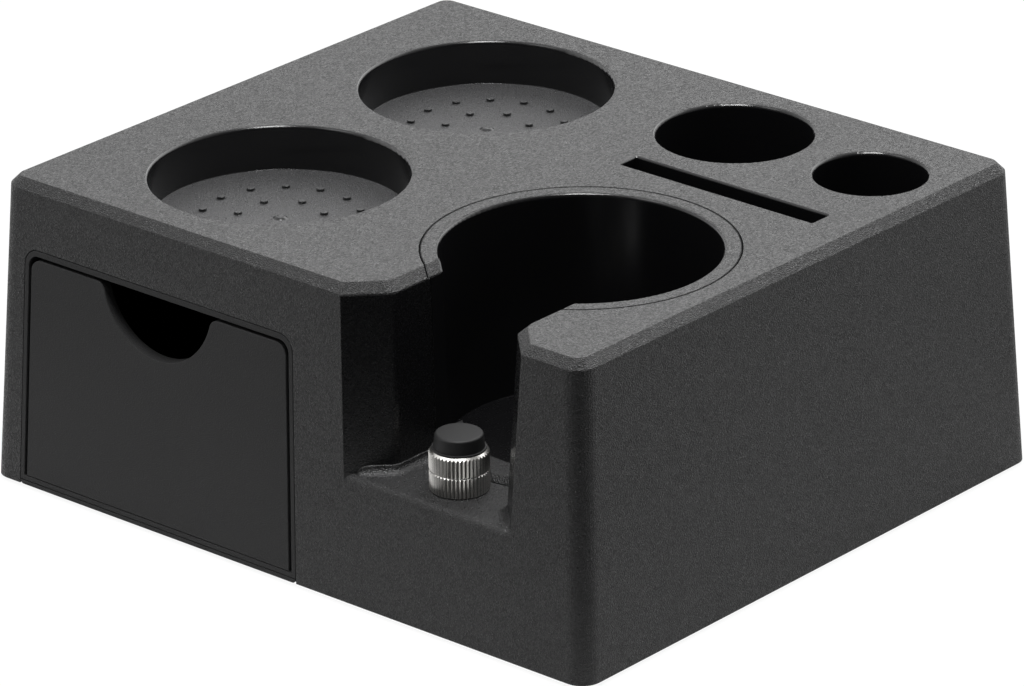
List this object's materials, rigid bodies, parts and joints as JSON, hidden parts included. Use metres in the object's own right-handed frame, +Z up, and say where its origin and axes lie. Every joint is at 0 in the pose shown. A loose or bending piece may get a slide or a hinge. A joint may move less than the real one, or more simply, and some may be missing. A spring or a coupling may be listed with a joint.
{
  "type": "espresso accessory organizer",
  "caption": "Black espresso organizer with a drawer, lift-out portafilter cup, height rest, wells, slot and tool holes.",
  "frame": {"origin": "middle of the footprint, on the surface that the rubber feet stand on", "axes": "+X to the right along the front, +Y from the front to the back, +Z up"},
  "size_m": [0.214, 0.1896, 0.089],
  "materials": {
    "grained_black_abs": "spark-eroded grain",
    "black_abs": "fine grain",
    "black_rubber": "matt",
    "nickel_plated_brass": "plated, bright",
    "brass": "turned brass",
    "black_zinc_steel": "black zinc"
  },
  "bodies": {
    "block": {"housing": "grained_black_abs", "drawer_sleeve": "black_abs", "base_plate": "black_abs", "screw_insert": "brass", "base_screws": "black_zinc_steel", "sleeve_screws": "black_zinc_steel", "foot_front_left": "black_rubber", "foot_front_right": "black_rubber", "foot_rear_left": "black_rubber", "foot_rear_right": "black_rubber"},
    "drawer_body": {"drawer": "black_abs"},
    "liner_body": {"portafilter_liner": "grained_black_abs"},
    "cap_body": {"rest_cap": "black_rubber"},
    "screw_body": {"rest_screw": "nickel_plated_brass"},
    "nut_body": {"lock_nut": "nickel_plated_brass"}
  },
  "joints": [
    {"name": "drawer_slide", "type": "slide", "parent": "block", "child": "drawer_body", "axis": [0, -1, 0], "range_m": [0, 0.13]},
    {"name": "liner_lift", "type": "slide", "parent": "block", "child": "liner_body", "axis": [0, 0, 1], "range_m": [0, 0.09]},
    {"name": "rest_rise", "type": "slide", "parent": "block", "child": "cap_body", "axis": [0, 0, 1], "range_m": [0, 0.008]},
    {"name": "rest_turn", "type": "hinge", "parent": "cap_body", "child": "screw_body", "pos_m": [0.05175, -0.07975, 0.0427], "axis": [0, 0, 1], "range_deg": [0, 2880.1]},
    {"name": "lock_nut_turn", "type": "hinge", "parent": "block", "child": "nut_body", "pos_m": [0.05175, -0.07975, 0.0368], "axis": [0, 0, 1], "range_deg": [-45, 45]}
  ],
  "couplings": [
    {"joint": "rest_turn", "follows": "rest_rise", "rad_per_m": 6283.2}
  ]
}
